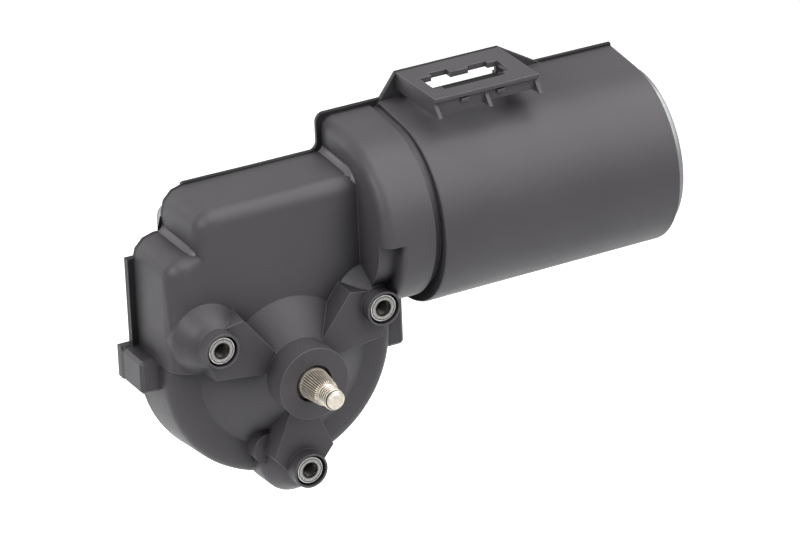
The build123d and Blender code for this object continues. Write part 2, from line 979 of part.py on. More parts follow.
# Lid of the gear housing with its gasket and screws
lid_back_y = lid_y + lid_thickness
lid_r = drum_front_r - housing_inset
with BuildPart() as lid_gasket:
    with BuildSketch(across(lid_y)):
        Circle(lid_r)
        Circle(chamber_r, mode=Mode.SUBTRACT)
        add(screw_ears())
        with PolarLocations(lid_screw_circle_r, lid_screw_count):
            Circle(lid_screw_r + screw_play, mode=Mode.SUBTRACT)
    extrude(amount=gasket_thickness)
save(lid_gasket.part, "lid_gasket")

groove_start_r = hub_r + clip_mouth
groove_end_r = lid_screw_circle_r - 2 * clip_mouth
with BuildPart() as housing_lid:
    with BuildSketch(across(lid_back_y)):
        Circle(lid_r)
        with PolarLocations(lid_screw_circle_r, lid_screw_count):
            Circle(lid_screw_r + screw_play, mode=Mode.SUBTRACT)
    extrude(amount=lid_thickness)
    with BuildSketch(across(lid_y)):
        Circle(journal_r + 2 * bush_wall)
        Circle(journal_r + screw_edge, mode=Mode.SUBTRACT)
    extrude(amount=screw_head)
    with BuildSketch(across(lid_back_y)):
        with PolarLocations((groove_start_r + groove_end_r) / 2, lid_screw_count, start_angle=30):
            Rectangle(groove_end_r - groove_start_r, 2 * gasket_thickness)
    extrude(amount=-lid_thickness / 2)
save(housing_lid.part, "housing_lid")

with BuildPart() as lid_screws:
    with BuildSketch(across(lid_back_y + screw_head)):
        with PolarLocations(lid_screw_circle_r, lid_screw_count):
            RegularPolygon(screw_head_r, 6)
    extrude(amount=screw_head)
    with BuildSketch(across(lid_back_y)):
        with PolarLocations(lid_screw_circle_r, lid_screw_count):
            RegularPolygon(lid_screw_r, 12)
    extrude(amount=lid_screw_length)
save(lid_screws.part, "lid_screws")

# Seal and bushes of the output shaft
bore_r = journal_r + running_gap
seal_back_y = tube_front_y + seal_length
save(ring(bore_r, bush_r, tube_front_y, seal_back_y), "shaft_seal")
save(ring(bore_r, bush_r, seal_back_y, seal_back_y + bush_length), "output_bush_front")
save(ring(bore_r, bush_r, hub_face_y - bush_length, hub_face_y), "output_bush_rear")

# Output shaft with its taper and threaded stub; the knurl's teeth aren't cut
washer_back_y = hub_face_y + running_gap + washer
hub_front_y = washer_back_y + running_gap
shaft_back_y = lid_back_y - washer * 6
clip_back_y = tube_front_y - clip_play
clip_front_y = clip_back_y - clip_width
thread_end_y = shaft_tip_y + thread_length
relief_end_y = thread_end_y + relief_length
output_shaft = turned(
    (0, shaft_tip_y),
    (thread_r - thread_chamfer, shaft_tip_y),
    (thread_r, shaft_tip_y + thread_chamfer),
    (thread_r, thread_end_y),
    (relief_r, thread_end_y),
    (relief_r, relief_end_y),
    (knurl_small_r - collar_step, relief_end_y),
    (knurl_small_r, knurl_end_y),
    (knurl_large_r, knurl_start_y),
    (journal_r, clip_front_y),
    (clip_groove_r, clip_front_y),
    (clip_groove_r, clip_back_y),
    (journal_r, clip_back_y),
    (journal_r, shaft_back_y - shaft_end_chamfer),
    (journal_r - shaft_end_chamfer, shaft_back_y),
    (0, shaft_back_y),
)
save(output_shaft, "output_shaft")

with BuildPart() as retaining_ring:
    with BuildSketch(across(clip_back_y)):
        Circle(boss_hole_r - screw_play)
        Circle(clip_groove_r, mode=Mode.SUBTRACT)
        add(patch(-clip_mouth / 2, clip_mouth / 2, -boss_hole_r, -clip_groove_r + 1), mode=Mode.SUBTRACT)
    extrude(amount=clip_width)
save(retaining_ring.part, "retaining_ring")

save(ring(journal_r, hub_r - 1, hub_face_y + running_gap, washer_back_y), "thrust_washer")
save(ring(journal_r, hub_r, hub_front_y, wheel_back_y), "wheel_hub")


def wheel_outline(y):
    # Straight flanked teeth of the worm wheel in the plane at depth y
    turn = -lead_tangent * (y - motor_y) / wheel_pitch_r
    half = (math.pi * module - backlash) / 4
    slope = math.tan(math.radians(pressure_angle))
    root_r = wheel_pitch_r - 1.25 * module
    root_half = half + 1.25 * module * slope
    tip_half = half - module * slope
    flanks = ((root_r, root_half), (wheel_tip_r, tip_half), (wheel_tip_r, -tip_half), (root_r, -root_half))
    points = []
    for tooth in range(wheel_teeth):
        middle = math.pi / 2 - 2 * math.pi * (tooth + 0.5) / wheel_teeth + turn
        for reach, side in flanks:
            angle = middle + side / reach
            points.append((reach * math.cos(angle), reach * math.sin(angle)))
    return points


# Worm wheel: moulded helical rim on a ribbed web
web_front_y = wheel_front_y + bush_wall
web_back_y = wheel_back_y - web_depth
rim_inner_r = wheel_pitch_r - wheel_rim
with BuildPart() as worm_wheel:
    with BuildSketch(across(wheel_back_y)):
        Polygon(*wheel_outline(wheel_back_y), align=None)
    with BuildSketch(across(wheel_front_y)):
        Polygon(*wheel_outline(wheel_front_y), align=None)
    loft(ruled=True)
    with BuildSketch(across(web_front_y)):
        Circle(rim_inner_r)
    extrude(amount=web_front_y - wheel_front_y + 1, mode=Mode.SUBTRACT)
    with BuildSketch(across(wheel_back_y + 1)):
        Circle(rim_inner_r)
    extrude(amount=wheel_back_y + 1 - web_back_y, mode=Mode.SUBTRACT)
    with BuildSketch(across(web_front_y)):
        Circle(hub_r + bush_wall)
        with PolarLocations((hub_r + rim_inner_r) / 2, wheel_spokes):
            Rectangle(rim_inner_r - hub_r + 1, spoke_width)
    extrude(amount=web_front_y - wheel_front_y)
    with BuildSketch(across(wheel_back_y)):
        Circle(hub_r)
    extrude(amount=wheel_back_y - wheel_front_y, mode=Mode.SUBTRACT)
save(worm_wheel.part, "worm_wheel")

# Park switch: a stepped contact track on the wheel and three wipers on the lid
with BuildPart() as park_track:
    with BuildSketch(across(web_back_y + track)):
        Circle(track_outer_r)
        Circle(track_inner_r, mode=Mode.SUBTRACT)
        gap = track_outer_r - wiper_radii[1]
        add(patch(-gap, gap, wiper_radii[1] + track, track_outer_r + 1), mode=Mode.SUBTRACT)
    extrude(amount=track)
save(park_track.part, "park_track")

wiper_tip_y = web_back_y + track + track / 2
with BuildPart() as park_wipers:
    for radius in wiper_radii:
        with BuildSketch(along(-radius - wiper_width / 2)):
            Polygon(
                (lid_y, wiper_foot_z),
                (lid_y, wiper_bend_z),
                (wiper_tip_y + wiper_sheet, wiper_rise_z),
                (wiper_tip_y + wiper_sheet, wiper_tip_z),
                (wiper_tip_y, wiper_tip_z),
                (wiper_tip_y, wiper_rise_z - wiper_shift),
                (lid_y - wiper_sheet, wiper_bend_z - wiper_shift),
                (lid_y - wiper_sheet, wiper_foot_z),
                align=None,
            )
        extrude(amount=wiper_width)
save(park_wipers.part, "park_wipers")


def worm_station(turn):
    # Plane through the motor axis at this turn of the thread, seen along the helix
    angle = 2 * math.pi * turn
    outwards = (0, math.sin(angle), -math.cos(angle))
    return Plane(
        origin=(worm_pitch * turn, motor_y, motor_z),
        x_dir=outwards,
        z_dir=Vector(outwards).cross(Vector(1, 0, 0)),
    )


def worm_form():
    # Single start right-hand thread: one tooth section carried round in short steps
    half = (worm_pitch - backlash / 2) / 4
    slope = math.tan(math.radians(pressure_angle))
    tip_half = half - module * slope
    foot_half = half + (worm_pitch_r - worm_root_r + worm_sink) * slope
    with BuildPart() as form:
        for step in range(worm_turns * worm_steps + 1):
            with BuildSketch(worm_station(step / worm_steps - worm_turns / 2)):
                Polygon(
                    (worm_root_r - worm_sink, -foot_half),
                    (worm_tip_r, -tip_half),
                    (worm_tip_r, tip_half),
                    (worm_root_r - worm_sink, foot_half),
                    align=None,
                )
        loft(ruled=True)
    return form.part


# Armature: shaft with its worm, core, windings and commutator
armature_end_x = cup_end_x - latch_gap
end_journal_x = cup_start_x - end_journal_r
with BuildPart() as armature_shaft:
    add(worm_form())
    add(
        turned_on_motor(
            (left_bush_start_x, 0),
            (left_bush_start_x, end_journal_r),
            (worm_start_x, end_journal_r),
            (worm_start_x, worm_root_r),
            (-worm_start_x, worm_root_r),
            (-worm_start_x, armature_r),
            (end_journal_x, armature_r),
            (end_journal_x, end_journal_r),
            (armature_end_x, end_journal_r),
            (armature_end_x, 0),
        )
    )
save(armature_shaft.part, "armature_shaft")

slot_middle_r = (slot_inner_r + slot_outer_r) / 2
with BuildPart() as armature_core:
    with BuildSketch(along(core_start_x)):
        with Locations((motor_y, motor_z)):
            Circle(core_r)
            Circle(armature_r, mode=Mode.SUBTRACT)
            with PolarLocations(slot_middle_r, core_slots):
                Rectangle(slot_depth, slot_width, mode=Mode.SUBTRACT)
            with PolarLocations(core_r, core_slots):
                Rectangle(2 * slot_lip + 1, slot_mouth, mode=Mode.SUBTRACT)
    extrude(amount=core_length)
save(armature_core.part, "armature_core")

with BuildPart() as armature_windings:
    for head_x in (core_start_x - head_length, core_end_x + winding_gap):
        with BuildSketch(along(head_x)):
            with Locations((motor_y, motor_z)):
                RegularPolygon(slot_outer_r - winding_gap, core_slots)
                RegularPolygon(armature_r + head_room, core_slots, mode=Mode.SUBTRACT)
        extrude(amount=head_length - winding_gap)
    with BuildSketch(along(core_start_x - 1)):
        with Locations((motor_y, motor_z)):
            with PolarLocations(slot_middle_r - winding_gap, core_slots):
                Rectangle(slot_depth - 4 * winding_gap, slot_width - 2 * winding_gap)
    extrude(amount=core_length + 2)
save(armature_windings.part, "armature_windings")

with BuildPart() as commutator:
    with BuildSketch(along(commutator_start_x)):
        with Locations((motor_y, motor_z)):
            Circle(commutator_r)
            Circle(armature_r, mode=Mode.SUBTRACT)
            with PolarLocations(commutator_r, core_slots):
                Rectangle(2 * commutator_groove, groove_width, mode=Mode.SUBTRACT)
    extrude(amount=commutator_length)
save(commutator.part, "commutator")

# Bearings of the armature
journal_bore_r = end_journal_r + running_gap
save(motor_ring(armature_r, inner_race_r, bearing_start_x, bearing_end_x), "bearing_inner_ring")
save(motor_ring(inner_race_r + race_gap, bearing_r, bearing_start_x, bearing_end_x), "bearing_outer_ring")
save(motor_ring(journal_bore_r, end_bush_r, left_bush_start_x, left_bush_end_x), "worm_end_bush")
save(motor_ring(journal_bore_r, end_bush_r, cup_start_x, cup_end_x), "motor_end_bush")

with BuildPart() as thrust_screw:
    add(motor_ring(0, plug_r - plug_step, tunnel_left_x, left_bush_start_x - race_gap))
    add(motor_ring(0, plug_r, tunnel_left_x - plug_length, tunnel_left_x))
    with BuildSketch(along(tunnel_left_x - plug_length)):
        with Locations((motor_y, motor_z)):
            RegularPolygon(plug_key_r, 6)
    extrude(amount=plug_key_depth, mode=Mode.SUBTRACT)
save(thrust_screw.part, "thrust_screw")

# Motor can, magnets and the bolts that hold the can on
bolt_places = [motor_point(bolt_circle_r, angle) for angle in bolt_angles]
dish_r = bolt_circle_r + bolt_head_r + screw_play
rim = [(can_end_x - can_round * near, can_r - can_round * far) for far, near in rounded(2)]
with BuildPart() as pole_housing:
    add(
        turned_on_motor(
            (can_start_x, can_r),
            *rim,
            (can_end_x, dish_r),
            (end_plate_x, dish_r),
            (end_plate_x, 0),
            (cup_end_x, 0),
            (cup_end_x, end_bush_r),
            (cup_start_x, end_bush_r),
            (cup_start_x, end_bush_r + cup_wall),
            (cup_end_x, end_bush_r + cup_wall),
            (cup_end_x, magnet_outer_r),
            (can_start_x, magnet_outer_r),
        )
    )
    with BuildSketch(along(cup_end_x - 1)):
        with Locations(*bolt_places):
            Circle(bolt_r + winding_gap)
    extrude(amount=can_wall + 2, mode=Mode.SUBTRACT)
save(pole_housing.part, "pole_housing")

with BuildPart() as field_magnets:
    with BuildSketch(along(core_start_x - magnet_room)):
        with Locations((motor_y, motor_z)):
            Circle(magnet_outer_r)
            Circle(magnet_inner_r, mode=Mode.SUBTRACT)
            with PolarLocations(magnet_inner_r, 4):
                Rectangle(4 * magnet_thickness, magnet_gap, mode=Mode.SUBTRACT)
    extrude(amount=core_length + 2 * magnet_room)
save(field_magnets.part, "field_magnets")

with BuildPart() as through_bolts:
    with BuildSketch(along(bowl_end_x + screw_play)):
        with Locations(*bolt_places):
            RegularPolygon(bolt_r, 12)
    extrude(amount=end_plate_x - bowl_end_x - screw_play)
    with BuildSketch(along(end_plate_x)):
        with Locations(*bolt_places):
            RegularPolygon(bolt_head_r, 6)
    extrude(amount=bolt_head)
    with BuildSketch(along(end_plate_x + bolt_head)):
        with Locations(*bolt_places):
            Rectangle(bolt_slot, 2 * bolt_head_r)
    extrude(amount=-bolt_slot, mode=Mode.SUBTRACT)
save(through_bolts.part, "through_bolts")

# Brush gear on a moulded plate at the foot of the motor bowl
choke_start = brush_angles[0] + 60
with BuildPart() as brush_plate:
    add(motor_ring(commutator_r + 2, bowl_r - bowl_wall - screw_play, plate_x, holder_x))
    with BuildSketch(along(holder_x)):
        with Locations((motor_y, motor_z)):
            with PolarLocations(choke_circle_r, 3, start_angle=choke_start):
                RegularPolygon(choke_r + choke_wall, 8)
                RegularPolygon(choke_r + winding_gap, 8, major_radius=False, mode=Mode.SUBTRACT)
    extrude(amount=choke_seat)
save(brush_plate.part, "brush_plate")


def radial_boxes(inner_r, outer_r, width, x_from, x_to, cut=0):
    # Three boxes round the commutator, hollow when a cut is given
    with BuildPart() as form:
        for angle in brush_angles:
            middle = motor_point((inner_r + outer_r) / 2, angle)
            with BuildSketch(along(x_from)):
                with Locations(Location((middle[0], middle[1], 0), (0, 0, angle))):
                    Rectangle(outer_r - inner_r, width)
            extrude(amount=x_to - x_from)
        if cut > 0:
            for angle in brush_angles:
                middle = motor_point((inner_r + outer_r) / 2 - cut, angle)
                with BuildSketch(along(x_from + cut)):
                    with Locations(Location((middle[0], middle[1], 0), (0, 0, angle))):
                        Rectangle(outer_r - inner_r, width - 2 * cut)
                extrude(amount=x_to - x_from - 2 * cut, mode=Mode.SUBTRACT)
    return form.part


brush_end_x = brush_start_x + brush_depth
holder_end_x = brush_end_x + holder_play + holder_wall
holder_width = brush_width + 2 * (holder_play + holder_wall)
holder_inner_r = commutator_r + holder_room
brush_inner_r = commutator_r + brush_touch
holders = radial_boxes(holder_inner_r, holder_outer_r, holder_width, holder_x, holder_end_x, holder_wall)
save(holders, "brush_holders")
brushes = radial_boxes(brush_inner_r, brush_outer_r, brush_width, brush_start_x, brush_end_x)
save(brushes, "carbon_brushes")


def radial_plane(x, angle):
    # Plane square to the motor axis whose own x points outwards at this angle
    turn = math.radians(angle)
    outwards = (0, math.cos(turn), math.sin(turn))
    return Plane(origin=(x, motor_y, motor_z), x_dir=outwards, z_dir=(1, 0, 0))


# Each spring is a zigzag of flat strips between the brush and its holder's end
spring_start_r = brush_outer_r + spring_strip / 2
spring_end_r = holder_outer_r - holder_wall - 3 * spring_strip / 2
spring_half = brush_width / 2 - spring_strip
spring_step = (spring_end_r - spring_start_r) / spring_folds
zigzag = [
    (spring_start_r + fold * spring_step, spring_half if fold % 2 else -spring_half)
    for fold in range(spring_folds + 1)
]
with BuildPart() as brush_springs:
    for angle in brush_angles:
        with BuildSketch(radial_plane(brush_start_x + 1, angle)):
            for (start_r, start_side), (end_r, end_side) in zip(zigzag, zigzag[1:]):
                Polygon(
                    (start_r, start_side),
                    (end_r, end_side),
                    (end_r + spring_strip, end_side),
                    (start_r + spring_strip, start_side),
                    align=None,
                )
        extrude(amount=brush_depth - 2)
save(brush_springs.part, "brush_springs")

with BuildPart() as suppression_chokes:
    with BuildSketch(along(holder_x)):
        with Locations((motor_y, motor_z)):
            with PolarLocations(choke_circle_r, 3, start_angle=choke_start):
                RegularPolygon(choke_r, 8, major_radius=False)
    extrude(amount=choke_length)
save(suppression_chokes.part, "suppression_chokes")
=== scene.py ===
import json
import math

import bmesh
import bpy
from mathutils import Matrix, Vector


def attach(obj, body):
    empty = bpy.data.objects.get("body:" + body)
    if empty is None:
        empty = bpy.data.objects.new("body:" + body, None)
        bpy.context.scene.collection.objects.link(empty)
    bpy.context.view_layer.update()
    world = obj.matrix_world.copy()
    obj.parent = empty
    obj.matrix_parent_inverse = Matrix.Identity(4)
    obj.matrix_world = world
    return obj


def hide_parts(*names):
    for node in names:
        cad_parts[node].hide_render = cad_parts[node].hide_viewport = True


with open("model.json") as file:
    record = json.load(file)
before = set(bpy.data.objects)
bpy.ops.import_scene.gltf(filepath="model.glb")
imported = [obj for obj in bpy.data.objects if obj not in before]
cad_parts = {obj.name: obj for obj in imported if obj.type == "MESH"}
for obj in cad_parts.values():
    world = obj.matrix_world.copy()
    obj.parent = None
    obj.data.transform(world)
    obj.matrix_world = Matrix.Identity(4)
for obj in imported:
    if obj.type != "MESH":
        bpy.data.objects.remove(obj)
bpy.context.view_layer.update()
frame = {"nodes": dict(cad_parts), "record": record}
nodes = frame["nodes"]

MM = 0.001

# Output shaft, in millimetres from its tip backwards: thread and teeth are cut into the solid's form
shaft_tip_y = -24.3
nose_length = 0.8
nose_r = 3.0
nose_chamfer = 0.35
thread_length = 6.7
thread_r = 4.0
thread_pitch = 1.25
thread_depth = 0.7
thread_lead_in = 0.5
thread_overrun = 0.5
thread_fade_length = 0.3
thread_fade_share = 0.5
relief_length = 0.9
relief_r = 4.2
shoulder_length = 0.6
shoulder_drop = 0.45
knurl_small_r = 5.0
knurl_large_r = 6.0
knurl_length = 8.5
knurl_teeth = 38
knurl_depth = 0.5
# Darkness of the painted shade in the knurl's grooves
knurl_groove_shade = 0.72
journal_r = 6.0
shaft_back_y = 35.8
thread_end = shaft_tip_y + thread_length + thread_overrun
relief_end = shaft_tip_y + thread_length + relief_length
knurl_start = relief_end + shoulder_length
knurl_end = knurl_start + knurl_length

# Flats at a thread's crest and root, as shares of half a turn
thread_flats = (0.12, 0.88)

# Steps of the turned meshes along Y, in millimetres, and their sides
thread_step = 0.08
plain_step = 0.2
knurl_step = 0.8
ring_gap = 0.001
sides_per_tooth = 6
post_sides = 48

# Mounting posts, in millimetres and degrees: the thread stands inside the solid's plain hole
post_r = 5.15
post_circle_r = 38.1
post_angles = (30, 150, 270)
post_hole_r = 3.0
post_mouth_r = post_hole_r - 0.01
post_thread_pitch = 1.0
post_thread_depth = 0.5
post_hole_start = 0.05
post_thread_start = (0.4, 1.4)
post_thread_end = 12.0
# Painted shade inside the post holes, darker in their thread's grooves
post_hole_shade = 0.55
post_groove_shade = 0.45

# Front cover's walls as the solid has them, in millimetres, and their slopes along Y
parting_y = 40.4
front_round_y = 19
front_round_r = 6.0
collar_x = 31.15
block_top_z = 66.85
top_slope = 0.043
step_wall_x = -33.85
step_wall_slope = 0.0455
step_top_z = 50.9
step_round_y = 18.5
step_wall_lean = 0.3
step_top_lean = 0.25

# Hollow rounds in the cover's inner corners, in millimetres and degrees
fillet_r = 3.0
fillet_steps = 8
fade_step = 12
fade_end = 60
fade_share = 0.85

# Web in the corner of the connector frame's rear window, in millimetres
web_corner = (63.6, 80.6)
web_reach = (7.5, 9.0)
web_front_y = 39.3
web_back_y = 40.7

# Shading of edges and facets, in metres, and how far a normal leans at an edge that is lightened,
# partly as wear and partly as painted highlight
weld_distance = 0.000005
facet_angle = math.radians(32)
turned_sharp_angle = math.radians(38)
plastic_rounding = 0.0006
casting_rounding = 0.0003
metal_rounding = 0.00015
highlight_and_wear_lean = (0.82, 0.985)
# How much lighter edges get, partly as wear and partly as painted highlight
highlight_and_wear_brightness = 2.3

# Painted shade in the plastic's creases, from ambient occlusion: its reach shrinks from the gear end
# up to the motor, in metres
crease_reach = (0.018, 0.006)
crease_heights = (0.045, 0.07)
crease_openness = (0.35, 0.85)
painted_crease_shade_tint = (0.25, 0.24, 0.25)

# Painted shadow of the gap along the parting line, between two places along Y in metres
parting_band = (0.0391, 0.0424)
parting_fade = 0.0003
painted_gap_shadow = (0.012, 0.011, 0.012)

# Depths between which a groove goes from unshaded to fully dark, as painted shade
groove_depths = (0.15, 0.65)

# Painted shade on the casting round the output shaft, in the gap by the shaft, fading out between
# two radii in metres
gap_shade_color = (0.03, 0.028, 0.026)
gap_shade_reach = (0.009, 0.012)


# Material helpers


def new_material(name):
    # Material with its node tree, its shader and its object coordinates
    material = bpy.data.materials.new(name)
    material.use_nodes = True
    tree = material.node_tree
    shader = tree.nodes["Principled BSDF"]
    place = tree.nodes.new("ShaderNodeTexCoord").outputs["Object"]
    return material, tree, shader, place


def scaled(color, share):
    # Colour made darker or lighter
    return tuple(c * share for c in color)


def noise(tree, place, scale, detail=3.0, roughness=0.55, stretch=(1, 1, 1)):
    # Noise in object space, in features per metre, stretched along an axis if asked
    mapping = tree.nodes.new("ShaderNodeMapping")
    mapping.inputs["Scale"].default_value = stretch
    tree.links.new(place, mapping.inputs["Vector"])
    texture = tree.nodes.new("ShaderNodeTexNoise")
    texture.inputs["Scale"].default_value = scale
    texture.inputs["Detail"].default_value = detail
    texture.inputs["Roughness"].default_value = roughness
    tree.links.new(mapping.outputs["Vector"], texture.inputs["Vector"])
    return texture.outputs["Fac"]


def to_range(tree, value, low, high, start=0.3, end=0.7):
    # Moves a value from the range start to end, where noise mostly lies, to the range low to high
    node = tree.nodes.new("ShaderNodeMapRange")
    node.inputs["From Min"].default_value = start
    node.inputs["From Max"].default_value = end
    node.inputs["To Min"].default_value = low
    node.inputs["To Max"].default_value = high
    tree.links.new(value, node.inputs["Value"])
    return node.outputs["Result"]


def coordinate(tree, place, axis):
    # One coordinate of a place
    node = tree.nodes.new("ShaderNodeSeparateXYZ")
    tree.links.new(place, node.inputs["Vector"])
    return node.outputs[axis]


def mix_colors(tree, share, first, second, blend="MIX"):
    # Mixes two colours, each a node's output or plain; the share is an output too, or else full
    node = tree.nodes.new("ShaderNodeMix")
    node.data_type = "RGBA"
    node.blend_type = blend
    if share is None:
        node.inputs["Factor"].default_value = 1.0
    else:
        tree.links.new(share, node.inputs["Factor"])
    for socket, color in (("A", first), ("B", second)):
        if isinstance(color, tuple):
            node.inputs[socket].default_value = (*color, 1)
        else:
            tree.links.new(color, node.inputs[socket])
    return node.outputs["Result"]


def soft_edges(tree, rounding):
    # Normals rounded over the edges
    soft = tree.nodes.new("ShaderNodeBevel")
    soft.samples = 6
    soft.inputs["Radius"].default_value = rounding
    return soft.outputs["Normal"]


def edge_mask(tree, rounded):
    # 0 on the faces and 1 along the edges, from how far the rounded normal leans
    true = tree.nodes.new("ShaderNodeNewGeometry").outputs["Normal"]
    lean = tree.nodes.new("ShaderNodeVectorMath")
    lean.operation = "DOT_PRODUCT"
    tree.links.new(rounded, lean.inputs[0])
    tree.links.new(true, lean.inputs[1])
    return to_range(tree, lean.outputs["Value"], 1, 0, *highlight_and_wear_lean)


def painted_crease_shade(tree, place, color):
    # Painted shade: darkens a colour in creases and recesses by ambient occlusion
    hollow = tree.nodes.new("ShaderNodeAmbientOcclusion")
    hollow.samples = 6
    hollow.only_local = True
    reach = to_range(tree, coordinate(tree, place, "Z"), *crease_reach, *crease_heights)
    tree.links.new(reach, hollow.inputs["Distance"])
    open_share = to_range(tree, hollow.outputs["AO"], 0, 1, *crease_openness)
    # The tint darkens the colour where the surface is closed in: painted shade
    tint = mix_colors(tree, open_share, painted_crease_shade_tint, (1, 1, 1))
    return mix_colors(tree, None, color, tint, "MULTIPLY")


def painted_seam_shadow(tree, place, color, front, back):
    # Painted shadow of the gap along the parting line, between two places along Y
    along = coordinate(tree, place, "Y")
    into = to_range(tree, along, 0, 1, front, front + parting_fade)
    out = to_range(tree, along, 1, 0, back - parting_fade, back)
    both = tree.nodes.new("ShaderNodeMath")
    both.operation = "MULTIPLY"
    tree.links.new(into, both.inputs[0])
    tree.links.new(out, both.inputs[1])
    return mix_colors(tree, both.outputs["Value"], color, painted_gap_shadow)


def bump(tree, heights, distance, strength, normal=None):
    # Bump from one or more heights, over edges that may be rounded already
    for height, share in heights:
        node = tree.nodes.new("ShaderNodeBump")
        node.inputs["Distance"].default_value = distance
        node.inputs["Strength"].default_value = strength * share
        tree.links.new(height, node.inputs["Height"])
        if normal is not None:
            tree.links.new(normal, node.inputs["Normal"])
        normal = node.outputs["Normal"]
    return normal


# Materials


def moulded_plastic(name, color, roughness, grain=1.0, seam=None):
    # Spark textured moulding: fine grain, faint flow marks, edges lightened as wear and painted
    # highlight, painted shade in the creases
    material, tree, shader, place = new_material(name)
    cloud = noise(tree, place, scale=22, detail=2.0)
    grit = noise(tree, place, scale=2600, detail=2.0)
    flow = noise(tree, place, scale=60, stretch=(0.3, 1, 1))
    rounded = soft_edges(tree, plastic_rounding)
    dark = scaled(color, 0.93)
    light = scaled(color, 1.06)
    lit_worn_edge = scaled(color, highlight_and_wear_brightness)
    skin = mix_colors(tree, to_range(tree, cloud, 0, 1), dark, light)
    # Edges lightened, partly as wear and partly as painted highlight
    highlighted_and_worn = mix_colors(tree, edge_mask(tree, rounded), skin, lit_worn_edge)
    # Painted shade in the creases
    finished = painted_crease_shade(tree, place, highlighted_and_worn)
    if seam:
        # Painted shadow along the parting line's gap
        finished = painted_seam_shadow(tree, place, finished, *seam)
    tree.links.new(finished, shader.inputs["Base Color"])
    gloss = to_range(tree, flow, roughness - 0.05, roughness + 0.05)
    tree.links.new(gloss, shader.inputs["Roughness"])
    shader.inputs["Specular IOR Level"].default_value = 0.3
    heights = ((grit, 1.0), (flow, 0.25))
    normal = bump(tree, heights, distance=0.00004, strength=0.35 * grain, normal=rounded)
    tree.links.new(normal, shader.inputs["Normal"])
    return material


def turned_metal(name, color, roughness, streak=(1, 1, 1), scale=900):
    # Bare metal with tool marks stretched along one axis and faint stains
    material, tree, shader, place = new_material(name)
    marks = noise(tree, place, scale, detail=4.0, roughness=0.6, stretch=streak)
    stain = noise(tree, place, scale=70)
    dark = scaled(color, 0.82)
    skin = mix_colors(tree, to_range(tree, stain, 0, 1), dark, color)
    tree.links.new(skin, shader.inputs["Base Color"])
    shader.inputs["Metallic"].default_value = 1.0
    gloss = to_range(tree, marks, roughness - 0.08, roughness + 0.1)
    tree.links.new(gloss, shader.inputs["Roughness"])
    rounded = soft_edges(tree, metal_rounding)
    normal = bump(tree, ((marks, 1.0),), distance=0.00003, strength=0.4, normal=rounded)
    tree.links.new(normal, shader.inputs["Normal"])
    return material


def cast_metal(name, color, roughness):
    # Die cast skin: small pebbled surface with cloudy grey, with painted shade round the output
    # shaft
    material, tree, shader, place = new_material(name)
    pebble = noise(tree, place, scale=700, detail=4.0, roughness=0.65)
    cloud = noise(tree, place, scale=45)
    dark = scaled(color, 0.78)
    skin = mix_colors(tree, to_range(tree, cloud, 0, 1), dark, color)
    flat = tree.nodes.new("ShaderNodeMapping")
    flat.inputs["Scale"].default_value = (1, 0, 1)
    tree.links.new(place, flat.inputs["Vector"])
    radius = tree.nodes.new("ShaderNodeVectorMath")
    radius.operation = "LENGTH"
    tree.links.new(flat.outputs["Vector"], radius.inputs[0])
    # Painted shade in the gap round the output shaft
    gap_unshaded = to_range(tree, radius.outputs["Value"], 0, 1, *gap_shade_reach)
    tree.links.new(mix_colors(tree, gap_unshaded, gap_shade_color, skin), shader.inputs["Base Color"])
    shader.inputs["Metallic"].default_value = 0.9
    gloss = to_range(tree, pebble, roughness - 0.08, roughness + 0.12)
    tree.links.new(gloss, shader.inputs["Roughness"])
    rounded = soft_edges(tree, casting_rounding)
    heights = ((pebble, 1.0), (cloud, 0.3))
    normal = bump(tree, heights, distance=0.00008, strength=0.5, normal=rounded)
    tree.links.new(normal, shader.inputs["Normal"])
    return material


def grooved_metal(name, color, roughness, groove_shade_color, grain, patches, mottle):
    # Machined metal with painted shade in its grooves: the mesh says how deep each point lies
    material, tree, shader, place = new_material(name)
    marks = noise(tree, place, grain, roughness=0.6)
    patch = noise(tree, place, patches)
    dark = scaled(color, mottle)
    mottled = mix_colors(tree, to_range(tree, patch, 0, 1), dark, color)
    depth = tree.nodes.new("ShaderNodeAttribute")
    depth.attribute_name = "depth"
    # Painted shade in the grooves, by depth
    groove_shade_share = to_range(tree, depth.outputs["Fac"], 0, 1, *groove_depths)
    tree.links.new(mix_colors(tree, groove_shade_share, mottled, groove_shade_color), shader.inputs["Base Color"])
    shader.inputs["Metallic"].default_value = 0.75
    gloss = to_range(tree, marks, roughness - 0.06, roughness + 0.12)
    tree.links.new(gloss, shader.inputs["Roughness"])
    normal = bump(tree, ((marks, 1.0),), distance=0.00004, strength=0.5)
    tree.links.new(normal, shader.inputs["Normal"])
    return material


def layered_metal(name, color, roughness, pitch, along):
    # Stacked sheets or wound wire: even fine lines across one axis
    material, tree, shader, place = new_material(name)
    wave = tree.nodes.new("ShaderNodeMath")
    wave.operation = "PINGPONG"
    wave.inputs[1].default_value = pitch / 2
    tree.links.new(coordinate(tree, place, along), wave.inputs[0])
    crest = to_range(tree, wave.outputs["Value"], 0, 1, 0, pitch / 2)
    dark = scaled(color, 0.45)
    tree.links.new(mix_colors(tree, crest, dark, color), shader.inputs["Base Color"])
    shader.inputs["Metallic"].default_value = 0.85
    grain = noise(tree, place, scale=300)
    gloss = to_range(tree, grain, roughness - 0.1, roughness + 0.1)
    tree.links.new(gloss, shader.inputs["Roughness"])
    normal = bump(tree, ((wave.outputs["Value"], 1.0),), distance=1.0, strength=0.6)
    tree.links.new(normal, shader.inputs["Normal"])
    return material


